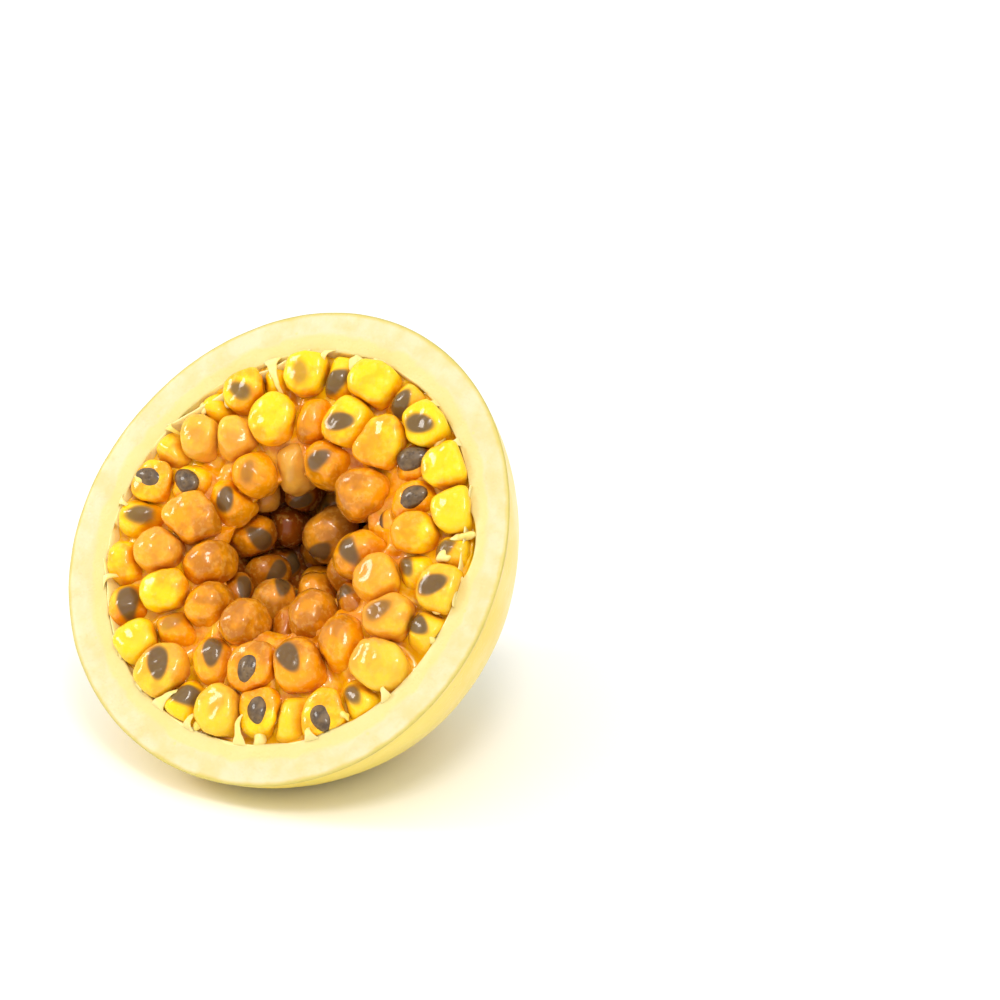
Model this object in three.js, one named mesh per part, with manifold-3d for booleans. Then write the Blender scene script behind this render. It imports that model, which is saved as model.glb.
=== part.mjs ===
// Half of a yellow passion fruit, cut across and resting on a flat trimmed under its rind.
//
// Everything is built in the fruit's own frame: the cut plane is z = 0, the fruit's axis is z,
// and the flesh lies below it, towards the stem end. The last group tilts that frame back and
// lifts it, so that the flat lies on z = 0 with its middle at the origin. Millimetres.
import * as THREE from "three";
import { mergeVertices } from "three/addons/utils/BufferGeometryUtils.js";
import Module from "manifold-3d";

const wasm = await Module();
wasm.setup();

// ---- driving dimensions ------------------------------------------------------------------
const FRUIT_RADIUS = 37.4; // at the whole fruit's widest place
const FRUIT_HALF_LENGTH = 44.8; // from the widest place to the stem end
const CUT_OFFSET = 7.0; // how far the knife passed from the widest place, towards the stem end
const RIND_SIDE = 6.2; // skin and pith together, at the widest place
const RIND_END = 6.8; // the same at the stem end
const TILT = THREE.MathUtils.degToRad(50); // of the fruit's axis from upright
const FLAT_DEPTH = 2.4; // how much of the round rind the flat takes away
const TOUCH_GAP = 0.3; // between pieces that touch

const LOBES = [
  // the fruit isn't quite round: share of the radius, waves round the fruit, phase
  { share: 0.022, waves: 2, phase: -2.77 },
  { share: 0.009, waves: 3, phase: 2.24 },
];

const ARIL = { along: 4.3, across: 3.8, deep: 4.6 }; // half sizes of a plump juice sac
const PLUMPNESS = 2.2; // 2 is an ellipsoid, and more is fuller at the corners
const TAPER = 0.14; // how much narrower a sac is at the end that hangs from the rind
const SEED = { along: 2.6, across: 1.8, thick: 1.1 }; // half sizes of a seed
const BED_TOP = -8.4; // the sacs of the face rest on deeper ones at this depth
const SAC_PROUD = 1.5; // sacs swell above the cut plane by up to this much

// Sacs of the face, each its own piece, between two radii and about one depth.
const FACE = { count: 49, inner: 21.0, outer: 28.4, depth: 2.9, reach: 27.9, low: -4.2, high: -1.9 };
// Sacs that line the hollow, joined to the deeper flesh: a bowl of them, down from a rim.
const HOLLOW = { count: 38, rim: 15.4, depth: 4.6, sink: 14.8, reach: 16.6, low: -20.5, high: -3.6 };
const HOLLOW_SHIFT = { x: -1.4, y: 2.6 }; // the hollow is a little off the axis
const BOWL = { radius: 12.6, depth: 12.6 }; // of the flesh behind the hollow's sacs
const LOOSENESS = { turn: 0.24, out: 1.1, depth: 1.1, lean: 0.34, size: 0.12 }; // of each sac's place
const SPACING = 7.2; // sacs that are nearer to each other than this push apart
const SETTLE_ROUNDS = 22;
const SETTLE_SHARE = 0.24; // of the crowding that each of two sacs gives way by in a round
const EVERY_OPENED = 7; // one sac in this many was opened by the knife and shows its seed
const OPENED_TOP = -0.7; // an opened sac is level at this depth
const SEED_DEPTH = 0.5; // of the middle of a bared seed

const ROUND = 48; // steps round the fruit
const GOLDEN_ANGLE = Math.PI * (3 - Math.sqrt(5));
const SAC_DETAIL = 2;
const HIDDEN_DETAIL = 1;

// ---- shared helpers ----------------------------------------------------------------------

// A repeatable stream of numbers from -1 to 1.
function makeJitter(seed) {
  let state = seed;
  return () => {
    state = (state * 1664525 + 1013904223) % 4294967296;
    return (state / 4294967296) * 2 - 1;
  };
}

// Swells the round fruit into its slightly lobed shape.
function lobed(point) {
  const angle = Math.atan2(point.y, point.x);
  let swell = 1;
  for (const { share, waves, phase } of LOBES) swell += share * Math.cos(waves * angle + phase);
  return new THREE.Vector3(point.x * swell, point.y * swell, point.z);
}

function moveVertices(geometry, move) {
  const places = geometry.getAttribute("position");
  for (let i = 0; i < places.count; i++) {
    const to = move(new THREE.Vector3().fromBufferAttribute(places, i));
    places.setXYZ(i, to.x, to.y, to.z);
  }
  return geometry;
}

function solidFrom(geometry) {
  const bare = geometry.clone();
  bare.deleteAttribute("normal");
  bare.deleteAttribute("uv");
  const merged = mergeVertices(bare, 1e-4);
  return new wasm.Manifold(
    new wasm.Mesh({
      numProp: 3,
      vertProperties: new Float32Array(merged.getAttribute("position").array),
      triVerts: new Uint32Array(merged.index.array),
    }),
  );
}

function geometryFrom(solid) {
  const mesh = solid.getMesh();
  const geometry = new THREE.BufferGeometry();
  geometry.setAttribute("position", new THREE.BufferAttribute(mesh.vertProperties, 3));
  geometry.setIndex(new THREE.BufferAttribute(mesh.triVerts, 1));
  geometry.computeVertexNormals();
  return geometry;
}

// Fills the pockets that joined bodies have closed in between them.
function withoutPockets(solid) {
  return solid.decompose().reduce((most, body) => (body.volume() > most.volume() ? body : most));
}

// Revolves a profile of [radius, z] pairs about z.
function revolved(profile, steps) {
  const points = profile.map(([radius, z]) => new THREE.Vector2(radius, z));
  return new THREE.LatheGeometry(points, steps).rotateX(Math.PI / 2);
}

// An arc of the ellipse with the given half sizes about the fruit's widest place, as [radius, z]
// pairs from one depth to the other.
function meridian(radius, halfLength, zFrom, zTo, steps) {
  const start = Math.asin((zFrom - CUT_OFFSET) / halfLength);
  const end = Math.asin((zTo - CUT_OFFSET) / halfLength);
  return Array.from({ length: steps + 1 }, (_, i) => {
    const t = start + ((end - start) * i) / steps;
    const onAxis = Math.abs(Math.abs(t) - Math.PI / 2) < 1e-9;
    return [onAxis ? 0 : radius * Math.cos(t), CUT_OFFSET + halfLength * Math.sin(t)];
  });
}

// ---- where the fruit stands --------------------------------------------------------------

// The reach of the fruit straight down when its axis leans back by TILT.
const reachDown = Math.hypot(FRUIT_HALF_LENGTH * Math.cos(TILT), FRUIT_RADIUS * Math.sin(TILT));
const cutHeight = reachDown - CUT_OFFSET * Math.cos(TILT) - FLAT_DEPTH;
const lowestAlong = CUT_OFFSET - (FRUIT_HALF_LENGTH ** 2 * Math.cos(TILT)) / reachDown;
const lowestAcross = (FRUIT_RADIUS ** 2 * Math.sin(TILT)) / reachDown;
const cutForward = lowestAlong * Math.sin(TILT) + lowestAcross * Math.cos(TILT);

const standing = new THREE.Matrix4()
  .makeRotationX(TILT)
  .setPosition(0, cutForward, cutHeight);

// ---- the pieces --------------------------------------------------------------------------

// Skin and pith, grown as one: a thick cup with a level rim, trimmed flat where it stands.
function rindHalf() {
  const stemEnd = CUT_OFFSET - FRUIT_HALF_LENGTH;
  const innerEnd = CUT_OFFSET - FRUIT_HALF_LENGTH + RIND_END;
  const outside = meridian(FRUIT_RADIUS, FRUIT_HALF_LENGTH, stemEnd, 0, 13);
  const inside = meridian(
    FRUIT_RADIUS - RIND_SIDE,
    FRUIT_HALF_LENGTH - RIND_END,
    0,
    innerEnd,
    9,
  );
  const cup = solidFrom(moveVertices(revolved([...outside, ...inside], ROUND), lobed));
  const slab = new THREE.BoxGeometry(120, 120, 40).translate(0, 0, -20);
  slab.applyMatrix4(standing.clone().invert());
  return geometryFrom(cup.subtract(solidFrom(slab)));
}

// What is left of the stem: a short woody peg with a flared foot.
function stemStub() {
  const foot = CUT_OFFSET - FRUIT_HALF_LENGTH - TOUCH_GAP;
  const profile = [
    [0, foot - 1.9],
    [1.2, foot - 1.7],
    [1.3, foot - 0.9],
    [2.0, foot],
    [0, foot],
  ];
  return revolved(profile, 16);
}

// A sac in its own loose place round the axis, with its own lean and size.
function looseSac(angle, out, depth, shift, jitter) {
  const turned = angle + LOOSENESS.turn * jitter();
  const away = out + LOOSENESS.out * jitter();
  const z = -depth + LOOSENESS.depth * jitter();
  const leanX = LOOSENESS.lean * jitter();
  const leanY = LOOSENESS.lean * jitter();
  return {
    centre: new THREE.Vector3(
      away * Math.cos(turned) + shift * HOLLOW_SHIFT.x,
      away * Math.sin(turned) + shift * HOLLOW_SHIFT.y,
      z,
    ),
    turn: new THREE.Euler(leanX, leanY, turned + LOOSENESS.lean * jitter(), "ZYX"),
    size: 1 + LOOSENESS.size * jitter(),
  };
}

// The sacs of the cut face, spread evenly between two circles by the golden angle.
function scatterFace(jitter) {
  const { count, inner, outer, depth, reach, low, high } = FACE;
  return Array.from({ length: count }, (_, i) => {
    const share = (i + 0.5) / count;
    const out = Math.sqrt(inner ** 2 + (outer ** 2 - inner ** 2) * share);
    return { ...looseSac(i * GOLDEN_ANGLE, out, depth, 0.6 * (1 - share), jitter), reach, low, high };
  });
}

// The sacs of the hollow, spread evenly over a bowl shaped like a paraboloid.
function scatterHollow(jitter) {
  const { count, rim, depth, sink, reach, low, high } = HOLLOW;
  const bend = (2 * sink) / rim ** 2;
  const whole = (1 + (bend * rim) ** 2) ** 1.5 - 1;
  return Array.from({ length: count }, (_, i) => {
    const share = (i + 0.5) / count;
    const out = Math.sqrt((1 + share * whole) ** (2 / 3) - 1) / bend;
    const down = depth + sink * (1 - (out / rim) ** 2);
    return { ...looseSac(i * GOLDEN_ANGLE, out, down, 1, jitter), reach, low, high };
  });
}

// Lets crowded sacs push each other apart, each within its own reach and depths.
function settle(places) {
  for (let round = 0; round < SETTLE_ROUNDS; round++) {
    places.forEach((place, i) => {
      for (const other of places.slice(0, i)) {
        const away = place.centre.clone().sub(other.centre);
        const crowding = (SPACING * (place.size + other.size)) / 2 - away.length();
        if (crowding <= 0) continue;
        away.setLength(crowding * SETTLE_SHARE);
        place.centre.add(away);
        other.centre.sub(away);
      }
    });
    for (const { centre, reach, low, high } of places) {
      const inwards = Math.min(1, reach / Math.hypot(centre.x, centre.y));
      centre.set(centre.x * inwards, centre.y * inwards, THREE.MathUtils.clamp(centre.z, low, high));
    }
  }
}

// How far a ray from inside the flesh gets, as a share of its length, before the rind.
function shareToRind(from, ray) {
  const radius = FRUIT_RADIUS - RIND_SIDE - TOUCH_GAP;
  const half = FRUIT_HALF_LENGTH - RIND_END - TOUCH_GAP;
  const scale = new THREE.Vector3(1 / radius, 1 / radius, 1 / half);
  const start = from.clone().setZ(from.z - CUT_OFFSET).multiply(scale);
  const way = ray.clone().multiply(scale);
  const a = way.lengthSq();
  const b = start.dot(way);
  const c = start.lengthSq() - 1;
  return (-b + Math.sqrt(b * b - a * c)) / a;
}

// A sac: an ellipsoid that its neighbours, the rind and the knife press flat where they touch.
function sac(place, neighbours, bottom, top, detail) {
  const { centre, turn, size } = place;
  return moveVertices(new THREE.IcosahedronGeometry(1, detail), (unit) => {
    const reach = unit.toArray().reduce((sum, n) => sum + Math.abs(n) ** PLUMPNESS, 0);
    const ray = unit
      .clone()
      .multiply(new THREE.Vector3(ARIL.along, ARIL.across * (1 - TAPER * unit.x), ARIL.deep))
      .multiplyScalar(size / reach ** (1 / PLUMPNESS))
      .applyEuler(turn);
    let share = Math.min(1, shareToRind(centre, ray));
    for (const other of neighbours) {
      const away = other.centre.clone().sub(centre);
      const room = (away.length() - TOUCH_GAP) / 2;
      const towards = ray.dot(away.normalize());
      if (towards > 0) share = Math.min(share, room / towards);
    }
    if (ray.z > 0) share = Math.min(share, (top - centre.z) / ray.z);
    if (ray.z < 0) share = Math.min(share, (bottom - centre.z) / ray.z);
    return centre.clone().addScaledVector(ray, share);
  });
}

// A seed: a flat egg shape, its broad side to the cut face.
function seedAt(place, grown) {
  const half = new THREE.Vector3(SEED.along, SEED.across, SEED.thick).addScalar(grown);
  const middle = place.centre.clone().setZ(-SEED_DEPTH);
  const lean = new THREE.Euler(place.turn.x * 0.5, place.turn.y * 0.5, place.turn.z, "ZYX");
  return moveVertices(new THREE.IcosahedronGeometry(1, HIDDEN_DETAIL), (unit) =>
    unit.clone().multiply(half).applyEuler(lean).add(middle),
  );
}

// The deeper sacs, which cling together round the hollow down to the stem end.
function deepFlesh(hollowSacs, faceSacs) {
  const radius = FRUIT_RADIUS - RIND_SIDE - TOUCH_GAP;
  const half = FRUIT_HALF_LENGTH - RIND_END - TOUCH_GAP;
  const bottom = CUT_OFFSET - half;
  const profile = [...meridian(radius, half, bottom, BED_TOP, 8), [0, BED_TOP]];
  const bowl = new THREE.IcosahedronGeometry(1, 2)
    .scale(BOWL.radius, BOWL.radius, BOWL.depth)
    .translate(HOLLOW_SHIFT.x, HOLLOW_SHIFT.y, BED_TOP);
  let flesh = solidFrom(revolved(profile, 24)).subtract(solidFrom(bowl));
  for (const place of hollowSacs) {
    flesh = flesh.add(solidFrom(sac(place, faceSacs, -FRUIT_HALF_LENGTH, SAC_PROUD, HIDDEN_DETAIL)));
  }
  return geometryFrom(withoutPockets(flesh));
}

// ---- finishes ----------------------------------------------------------------------------

const skin = new THREE.MeshStandardMaterial({ color: 0xf6df62, roughness: 0.38, metalness: 0 });
const juice = new THREE.MeshStandardMaterial({ color: 0xf0a312, roughness: 0.15, metalness: 0 });
const deepJuice = new THREE.MeshStandardMaterial({ color: 0xb4650c, roughness: 0.2, metalness: 0 });
const seedCoat = new THREE.MeshStandardMaterial({ color: 0x2a1a12, roughness: 0.3, metalness: 0 });
const wood = new THREE.MeshStandardMaterial({ color: 0x6b5430, roughness: 0.85, metalness: 0 });

// ---- the assembly ------------------------------------------------------------------------

const half = new THREE.Group();
half.applyMatrix4(standing);

function put(name, geometry, finish) {
  const mesh = new THREE.Mesh(geometry, finish);
  mesh.name = name;
  half.add(mesh);
}

const jitter = makeJitter(20731);
const faceSacs = scatterFace(jitter);
const hollowSacs = scatterHollow(jitter);
settle([...faceSacs, ...hollowSacs]);

put("rind_half", rindHalf(), skin);
put("stem_stub", stemStub(), wood);
put("deep_arils", moveVertices(deepFlesh(hollowSacs, faceSacs), lobed), deepJuice);

const opened = faceSacs.filter((_, i) => i % EVERY_OPENED === 2);
const pockets = opened.map((place) => solidFrom(seedAt(place, TOUCH_GAP)));

faceSacs.forEach((place, i) => {
  const number = String(i + 1).padStart(2, "0");
  const neighbours = [...faceSacs.filter((other) => other !== place), ...hollowSacs];
  const top = opened.includes(place) ? OPENED_TOP : SAC_PROUD;
  const plump = solidFrom(sac(place, neighbours, BED_TOP + TOUCH_GAP, top, SAC_DETAIL));
  const dented = withoutPockets(pockets.reduce((body, pocket) => body.subtract(pocket), plump));
  put(`aril_${number}`, moveVertices(geometryFrom(dented), lobed), juice);
  if (opened.includes(place)) {
    put(`seed_${number}`, moveVertices(seedAt(place, 0), lobed), seedCoat);
  }
});

const part = new THREE.Group();
part.add(half);
export default part;
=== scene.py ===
"""Half of a yellow passion fruit, dressed over its CAD frame for a soft studio table shot.

The fruit's own frame has the cut plane at z = 0, the fruit's axis along z and the stem end below.
Every piece is shaped there, then stood in the row frame by FruitShape.standing(). Metres.
"""

import logging
import math
from dataclasses import dataclass, field
from enum import Enum
from typing import Sequence

import bmesh
import bpy
import numpy as np
from mathutils import Euler, Matrix, Vector, noise


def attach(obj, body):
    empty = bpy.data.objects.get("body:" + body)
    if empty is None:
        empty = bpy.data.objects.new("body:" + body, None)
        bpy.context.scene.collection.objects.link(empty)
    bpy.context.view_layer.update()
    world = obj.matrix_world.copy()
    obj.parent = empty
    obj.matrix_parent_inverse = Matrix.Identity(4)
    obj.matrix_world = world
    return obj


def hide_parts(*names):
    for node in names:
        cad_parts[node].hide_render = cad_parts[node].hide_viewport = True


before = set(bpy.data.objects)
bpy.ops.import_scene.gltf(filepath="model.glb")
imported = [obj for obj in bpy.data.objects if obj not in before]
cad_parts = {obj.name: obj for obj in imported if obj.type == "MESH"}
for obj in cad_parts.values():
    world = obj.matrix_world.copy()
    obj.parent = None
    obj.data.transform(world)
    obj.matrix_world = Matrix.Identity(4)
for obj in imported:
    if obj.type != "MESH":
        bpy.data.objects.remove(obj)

log = logging.getLogger("passion_fruit")

BODY = "root"
MM = 0.001


class Slot(Enum):
    """The record's material slots."""

    RIND = "rind"
    STEM = "stem"
    SAC = "juice_sac"
    DEEP = "deep_juice"
    SEED = "seed_coat"


# ---- small helpers -------------------------------------------------------------------------


def smooth_step(low: float, high: float, value: np.ndarray | float) -> np.ndarray | float:
    """Rises smoothly from 0 at low to 1 at high.

    Args:
        low: The value that gives 0. It may be above high, for a falling step.
        high: The value that gives 1.
        value: A number or an array of numbers.

    Returns:
        The step, of the same shape as value.
    """
    t = np.clip((value - low) / (high - low), 0.0, 1.0)
    return t * t * (3.0 - 2.0 * t)


def wobble(point: Vector, pitch: float, seed: float = 0.0) -> float:
    """Gives smooth noise from about -1 to 1.

    Args:
        point: Where it is read.
        pitch: The size of one lump.
        seed: Moves the pattern, so that two uses differ.

    Returns:
        The noise at that point.
    """
    return noise.noise(point / pitch + Vector((seed, seed * 1.7, -seed)))


class Jitter:
    """The repeatable stream of numbers from -1 to 1 that also placed the sacs of the CAD model."""

    def __init__(self, seed: int) -> None:
        """Starts the stream at a seed."""
        self.state = seed

    def __call__(self) -> float:
        """Returns the next number."""
        self.state = (self.state * 1664525 + 1013904223) % 4294967296
        return self.state / 4294967296 * 2 - 1


# ---- the shape of the fruit ----------------------------------------------------------------


@dataclass(frozen=True)
class FruitShape:
    """The egg shape of the whole fruit, where it was cut, and how the half stands."""

    radius: float = 37.4 * MM
    half_length: float = 44.8 * MM
    cut_offset: float = 7.0 * MM
    rind_side: float = 6.2 * MM
    rind_end: float = 6.8 * MM
    tilt: float = math.radians(50)
    flat_depth: float = 2.4 * MM
    lobes: tuple[tuple[float, int, float], ...] = ((0.022, 2, -2.77), (0.009, 3, 2.24))

    @property
    def inner_radius(self) -> float:
        """The radius inside the rind at the widest place."""
        return self.radius - self.rind_side

    @property
    def inner_half_length(self) -> float:
        """The half length inside the rind."""
        return self.half_length - self.rind_end

    @property
    def stem_end(self) -> float:
        """The z of the outside at the stem end."""
        return self.cut_offset - self.half_length

    def standing(self) -> Matrix:
        """Returns the matrix from the fruit's frame to the row frame."""
        cos, sin = math.cos(self.tilt), math.sin(self.tilt)
        reach = math.hypot(self.half_length * cos, self.radius * sin)
        along = self.cut_offset - self.half_length**2 * cos / reach
        across = self.radius**2 * sin / reach
        height = reach - self.cut_offset * cos - self.flat_depth
        middle = Vector((0.0, along * sin + across * cos, height))
        return Matrix.Translation(middle) @ Matrix.Rotation(self.tilt, 4, "X")

    def swell(self, angle: float) -> float:
        """Returns how much wider than round the fruit is at an angle about its axis."""
        return 1.0 + sum(share * math.cos(waves * angle + phase) for share, waves, phase in self.lobes)

    def lobed(self, point: Vector) -> Vector:
        """Returns a point of the round fruit, moved to where it is in the slightly lobed one."""
        swell = self.swell(math.atan2(point.y, point.x))
        return Vector((point.x * swell, point.y * swell, point.z))

    def wall_share(self, start: np.ndarray, rays: np.ndarray, clearance: float) -> np.ndarray:
        """Finds how far rays get before the inside of the rind.

        Args:
            start: Where they all start.
            rays: One ray in each row.
            clearance: How far short of the rind they stop.

        Returns:
            For each ray, the share of its length that fits.
        """
        radius = self.inner_radius - clearance
        scale = np.array([1 / radius, 1 / radius, 1 / (self.inner_half_length - clearance)])
        origin = (start - np.array([0.0, 0.0, self.cut_offset])) * scale
        way = rays * scale
        a = (way * way).sum(axis=1)
        b = way @ origin
        c = origin @ origin - 1.0
        return (-b + np.sqrt(np.maximum(b * b - a * c, 0.0))) / a

    def inner_radius_at(self, z: float) -> float:
        """Returns the radius inside the rind at a height."""
        share = (z - self.cut_offset) / self.inner_half_length
        return self.inner_radius * math.sqrt(max(0.0, 1.0 - share * share))


# ---- building meshes -----------------------------------------------------------------------


@dataclass
class Workshop:
    """Makes the finished objects, stands them in the row frame and hooks them to the CAD body."""

    shape: FruitShape

    def finish(
        self,
        name: str,
        bm: bmesh.types.BMesh,
        materials: Sequence[bpy.types.Material],
        slot: Slot,
        replaced: Sequence[str] = (),
    ) -> bpy.types.Object:
        """Turns a bmesh in the fruit's frame into a finished piece.

        Args:
            name: The piece's name.
            bm: Its mesh, which is used up.
            materials: Its materials, in the order of its faces' indices.
            slot: The record's slot. It is not used.
            replaced: The CAD nodes that it stands for.

        Returns:
            The object, riding on the fruit.
        """
        mesh = bpy.data.meshes.new(name)
        for face in bm.faces:
            face.smooth = True
        bm.to_mesh(mesh)
        bm.free()
        mesh.transform(self.shape.standing())
        piece = bpy.data.objects.new(name, mesh)
        bpy.context.scene.collection.objects.link(piece)
        for material in materials:
            mesh.materials.append(material)
        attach(piece, BODY)
        if replaced:
            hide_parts(*replaced)
        log.info("%s: %d faces", name, len(mesh.polygons))
        return piece

    @staticmethod
    def masks(bm: bmesh.types.BMesh, names: Sequence[str]) -> list[bmesh.types.BMLayerItem]:
        """Adds a number for each vertex under each name, for materials to read."""
        return [bm.verts.layers.float.new(name) for name in names]

    @staticmethod
    def absorb(bm: bmesh.types.BMesh, part: bmesh.types.BMesh) -> None:
        """Adds one bmesh to another, and uses it up."""
        mesh = bpy.data.meshes.new("part")
        part.to_mesh(mesh)
        part.free()
        bm.from_mesh(mesh)
        bpy.data.meshes.remove(mesh)

    def lobe(self, bm: bmesh.types.BMesh) -> None:
        """Moves every vertex from the round fruit to the lobed one."""
        for vert in bm.verts:
            vert.co = self.shape.lobed(vert.co)


def ellipsoid(
    bm: bmesh.types.BMesh, half: Vector, middle: Vector, around: int, along: int
) -> list[bmesh.types.BMVert]:
    """Adds an ellipsoid of quads to a bmesh.

    Args:
        bm: The bmesh.
        half: Its half sizes.
        middle: Its middle.
        around: Faces round it.
        along: Faces from pole to pole.

    Returns:
        Its vertices.
    """
    made = bmesh.ops.create_uvsphere(bm, u_segments=around, v_segments=along, radius=1.0)
    bmesh.ops.scale(bm, vec=half, verts=made["verts"])
    bmesh.ops.translate(bm, vec=middle, verts=made["verts"])
    return made["verts"]


# ---- node trees ----------------------------------------------------------------------------


@dataclass
class Tree:
    """A node tree while it is written."""

    tree: bpy.types.NodeTree

    def fill(self, node: bpy.types.Node, inputs: dict[str | int, object]) -> bpy.types.Node:
        """Sets a node's inputs, or links sockets to them, and returns the node."""
        for name, value in inputs.items():
            if isinstance(value, bpy.types.NodeSocket):
                self.tree.links.new(value, node.inputs[name])
            else:
                node.inputs[name].default_value = value
        return node

    def add(
        self, kind: str, inputs: dict[str | int, object] | None = None, **settings: object
    ) -> bpy.types.Node:
        """Adds a node.

        Args:
            kind: The node's type name, without the leading ShaderNode.
            inputs: Values or sockets, by the name or number of the input.
            **settings: The node's own settings.

        Returns:
            The node.
        """
        node = self.tree.nodes.new("ShaderNode" + kind)
        for name, value in settings.items():
            setattr(node, name, value)
        return self.fill(node, inputs or {})

    def mask(self, name: str) -> bpy.types.NodeSocket:
        """Reads a number that the mesh holds for each vertex."""
        return self.add("Attribute", attribute_name=name).outputs["Fac"]

    def maths(self, operation: str, a: object, b: object = 0.0) -> bpy.types.NodeSocket:
        """Combines two values."""
        return self.add("Math", {0: a, 1: b}, operation=operation).outputs[0]

    def blend(self, share: object, a: object, b: object) -> bpy.types.NodeSocket:
        """Mixes two colours."""
        return self.add("Mix", {0: share, 6: a, 7: b}, data_type="RGBA").outputs[2]

    def span(
        self, value: object, low: float, high: float, to_low: float = 0.0, to_high: float = 1.0
    ) -> bpy.types.NodeSocket:
        """Maps a value's range to another, smoothly and within it."""
        ends = {"Value": value, "From Min": low, "From Max": high, "To Min": to_low, "To Max": to_high}
        return self.add("MapRange", ends, interpolation_type="SMOOTHSTEP").outputs["Result"]

    def place(self) -> bpy.types.NodeSocket:
        """Reads the place in the object's own coordinates."""
        return self.add("TexCoord").outputs["Object"]

    def group(self, group: bpy.types.NodeTree, inputs: dict[str, object]) -> bpy.types.Node:
        """Places a node group."""
        node = self.tree.nodes.new("ShaderNodeGroup")
        node.node_tree = group
        return self.fill(node, inputs)


def new_group(name: str, inputs: dict[str, float | None], outputs: Sequence[str]) -> tuple[Tree, dict, dict]:
    """Starts a shader node group with named sockets.

    Args:
        name: The group's name.
        inputs: Each input's default, or None for a vector.
        outputs: The names of its values.

    Returns:
        Its tree, its inputs' sockets and its outputs' sockets, by name.
    """
    group = bpy.data.node_groups.new(name, "ShaderNodeTree")
    for socket, default in inputs.items():
        kind = "NodeSocketVector" if default is None else "NodeSocketFloat"
        made = group.interface.new_socket(name=socket, in_out="INPUT", socket_type=kind)
        if default is not None:
            made.default_value = default
    for socket in outputs:
        group.interface.new_socket(name=socket, in_out="OUTPUT", socket_type="NodeSocketFloat")
    entry, leave = group.nodes.new("NodeGroupInput"), group.nodes.new("NodeGroupOutput")
    return Tree(group), {s.name: s for s in entry.outputs if s.name}, {s.name: s for s in leave.inputs if s.name}


def mottle_group() -> bpy.types.NodeTree:
    """Builds the group for cloudy tone, the uneven ripeness of skin, pith and juice alike.

    Returns:
        The group, with Place, Scale and Detail in, and Tone out.
    """
    tree, gets, gives = new_group("cloudy_tone", {"Place": None, "Scale": 100.0, "Detail": 3.0}, ["Tone"])
    cloud = tree.add("TexNoise", {"Vector": gets["Place"], "Scale": gets["Scale"], "Detail": gets["Detail"]})
    tone = tree.span(cloud.outputs["Fac"], 0.32, 0.68)
    tree.tree.links.new(tone, gives["Tone"])
    return tree.tree


def pore_group() -> bpy.types.NodeTree:
    """Builds the group for pores and flecks: round dots scattered over a surface.

    Returns:
        The group, with Place, Scale and Size in, and Dot out, 1 in a dot's middle.
    """
    tree, gets, gives = new_group("scattered_dots", {"Place": None, "Scale": 600.0, "Size": 0.3}, ["Dot"])
    cells = tree.add("TexVoronoi", {"Vector": gets["Place"], "Scale": gets["Scale"], "Randomness": 1.0})
    rest = tree.maths("SUBTRACT", gets["Size"], cells.outputs["Distance"])
    share = tree.maths("DIVIDE", rest, gets["Size"])
    tree.tree.links.new(tree.maths("MAXIMUM", share, 0.0), gives["Dot"])
    return tree.tree


@dataclass(frozen=True)
class Gloss:
    """The numbers of one Principled surface that are the same all over it."""

    roughness: float = 0.5
    coat: float = 0.0
    coat_roughness: float = 0.1
    coat_ior: float = 1.5
    ior: float = 1.4
    inner_light: float = 0.0
    inner_radius: tuple[float, float, float] = (1.0, 0.5, 0.2)
    inner_scale: float = 1.0 * MM


def new_material(name: str, gloss: Gloss) -> tuple[Tree, bpy.types.Node]:
    """Starts a material with one Principled surface.

    Args:
        name: The material's name.
        gloss: Its constant numbers.

    Returns:
        Its tree and the Principled node.
    """
    material = bpy.data.materials.new(name)
    material.use_nodes = True
    tree = Tree(material.node_tree)
    surface = next(n for n in material.node_tree.nodes if n.type == "BSDF_PRINCIPLED")
    constants = {
        "Roughness": gloss.roughness,
        "Coat Weight": gloss.coat,
        "Coat Roughness": gloss.coat_roughness,
        "Coat IOR": gloss.coat_ior,
        "IOR": gloss.ior,
        "Subsurface Weight": gloss.inner_light,
        "Subsurface Radius": gloss.inner_radius,
        "Subsurface Scale": gloss.inner_scale,
    }
    for socket, value in constants.items():
        surface.inputs[socket].default_value = value
    return tree, surface


def dress(
    tree: Tree, surface: bpy.types.Node, colour: object, height: object, depth: float, strength: float
) -> None:
    """Links a colour and a bump to a Principled surface.

    Args:
        tree: The material's tree.
        surface: Its Principled node.
        colour: The base colour's socket.
        height: The bump's height, from 0 to 1.
        depth: How deep the bump goes, in metres.
        strength: The bump's strength.
    """
    tree.tree.links.new(colour, surface.inputs["Base Color"])
    bump = tree.add("Bump", {"Height": height, "Distance": depth, "Strength": strength})
    tree.tree.links.new(bump.outputs["Normal"], surface.inputs["Normal"])


Colour = tuple[float, float, float, float]


def shade(red: float, green: float, blue: float) -> Colour:
    """Turns a colour from 0 to 255 on a screen into a linear one."""
    return tuple(((c / 255 + 0.055) / 1.055) ** 2.4 if c > 10 else c / 3294 for c in (red, green, blue)) + (1.0,)


@dataclass(frozen=True)
class Groups:
    """The node groups that the finishes share."""

    mottle: bpy.types.NodeTree
    pores: bpy.types.NodeTree


# ---- finishes ------------------------------------------------------------------------------


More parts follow.
